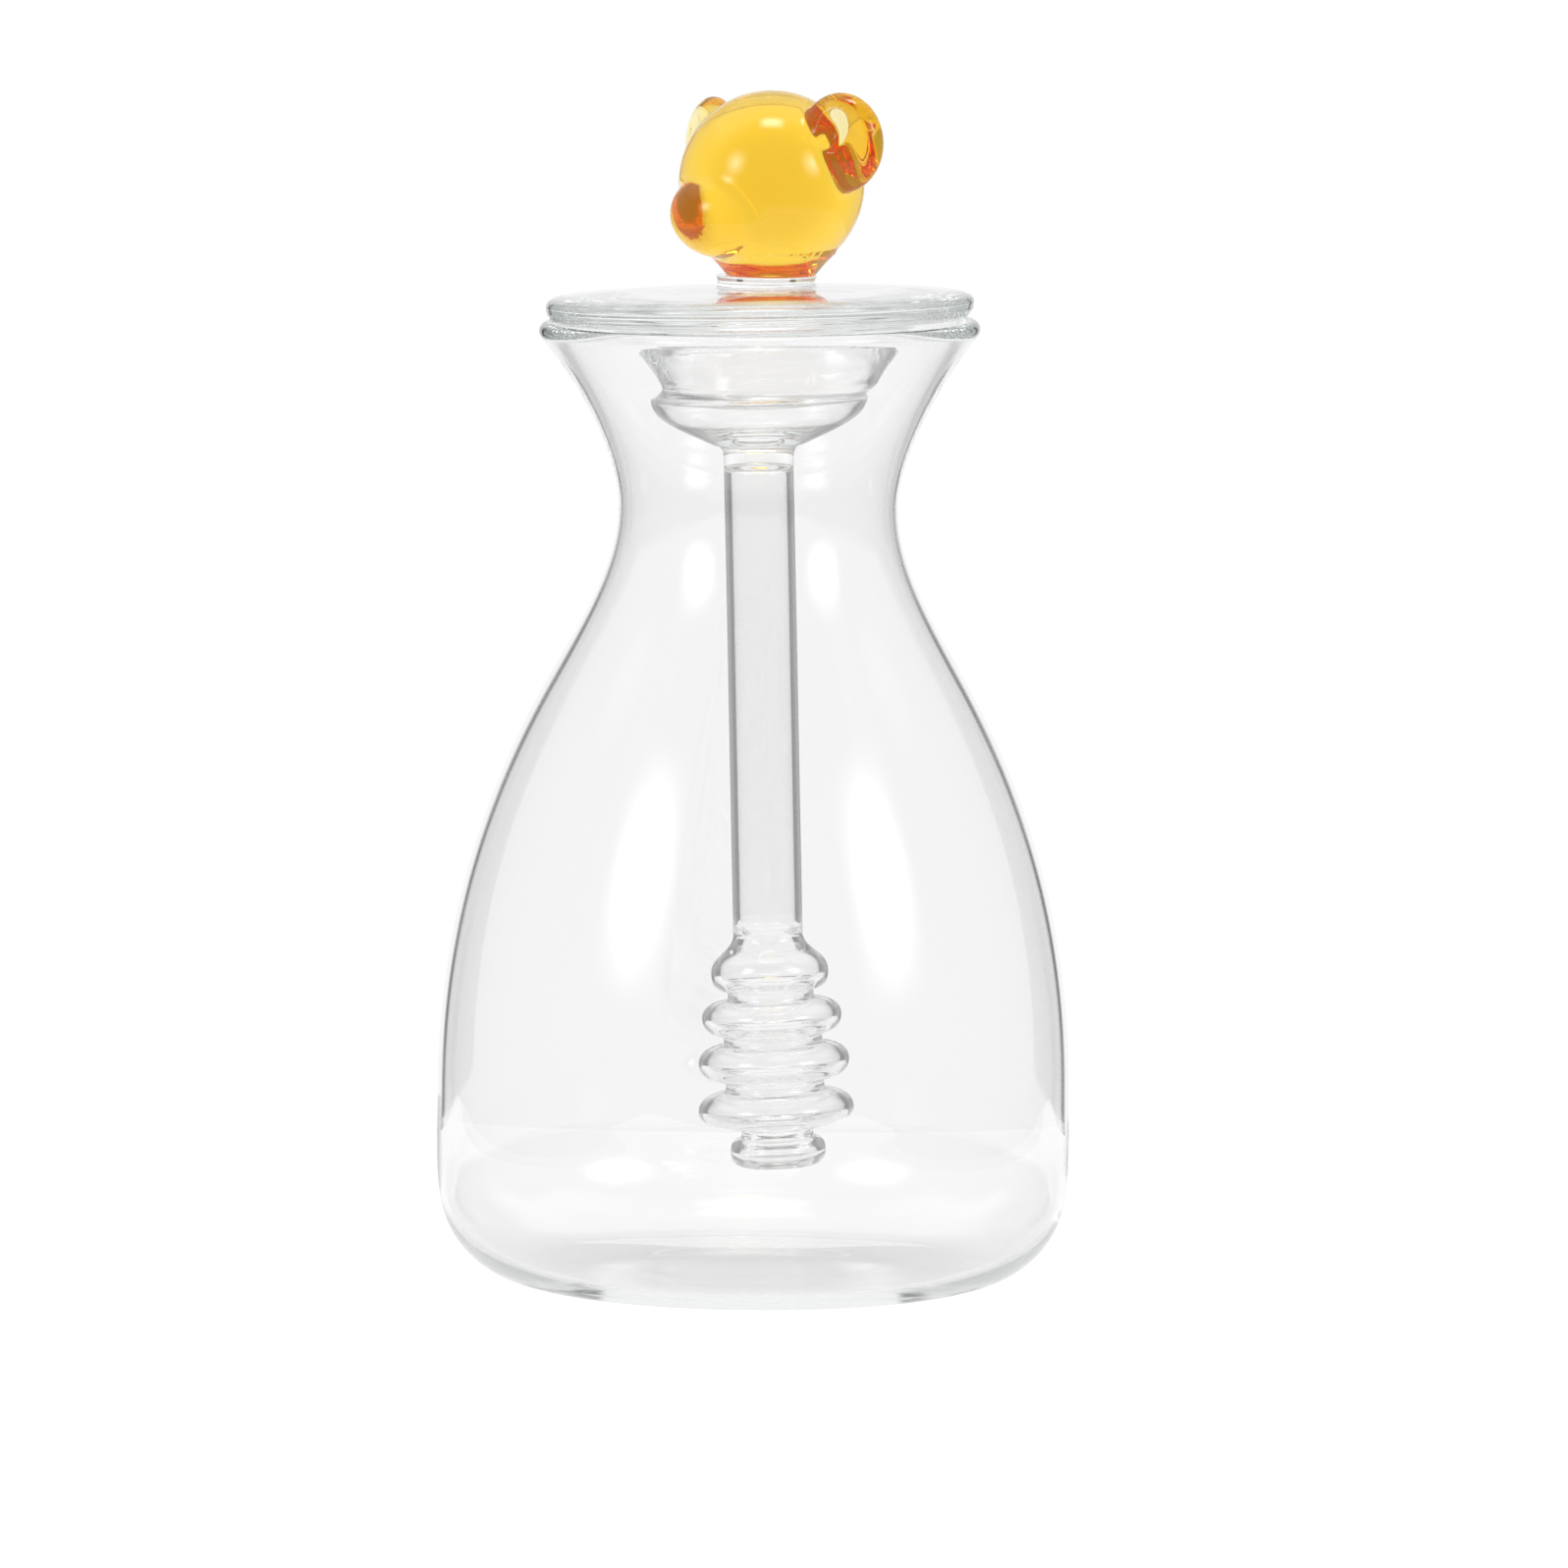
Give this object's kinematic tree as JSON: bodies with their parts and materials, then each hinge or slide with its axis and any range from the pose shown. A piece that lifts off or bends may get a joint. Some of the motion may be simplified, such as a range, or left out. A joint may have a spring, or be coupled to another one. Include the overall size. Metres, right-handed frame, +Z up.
{
  "type": "honey jar",
  "caption": "Blown glass honey jar with a flared mouth and a lift-off glass lid that carries a ringed dipper and an amber animal-head knob.",
  "frame": {"origin": "centre of the jar's underside, on the surface that it stands on", "axes": "+Z up the jar's axis, front toward -Y; the head looks toward the front left"},
  "size_m": [0.0903, 0.0902, 0.1701],
  "materials": {
    "clear_glass": "clear fire-polished borosilicate glass",
    "amber_glass": "solid transparent amber glass, fire-polished"
  },
  "bodies": {
    "jar": {"jar_body": "clear_glass"},
    "lid": {"lid_plate": "clear_glass", "plug_bowl": "clear_glass", "knob_collar": "clear_glass", "stem_tube": "clear_glass", "dipper_head": "clear_glass", "bear_head": "amber_glass", "muzzle": "amber_glass", "left_ear": "amber_glass", "right_ear": "amber_glass"}
  },
  "joints": [
    {"name": "lid_lift", "type": "slide", "parent": "jar", "child": "lid", "axis": [0, 0, 1], "range_m": [0, 0.13]}
  ]
}
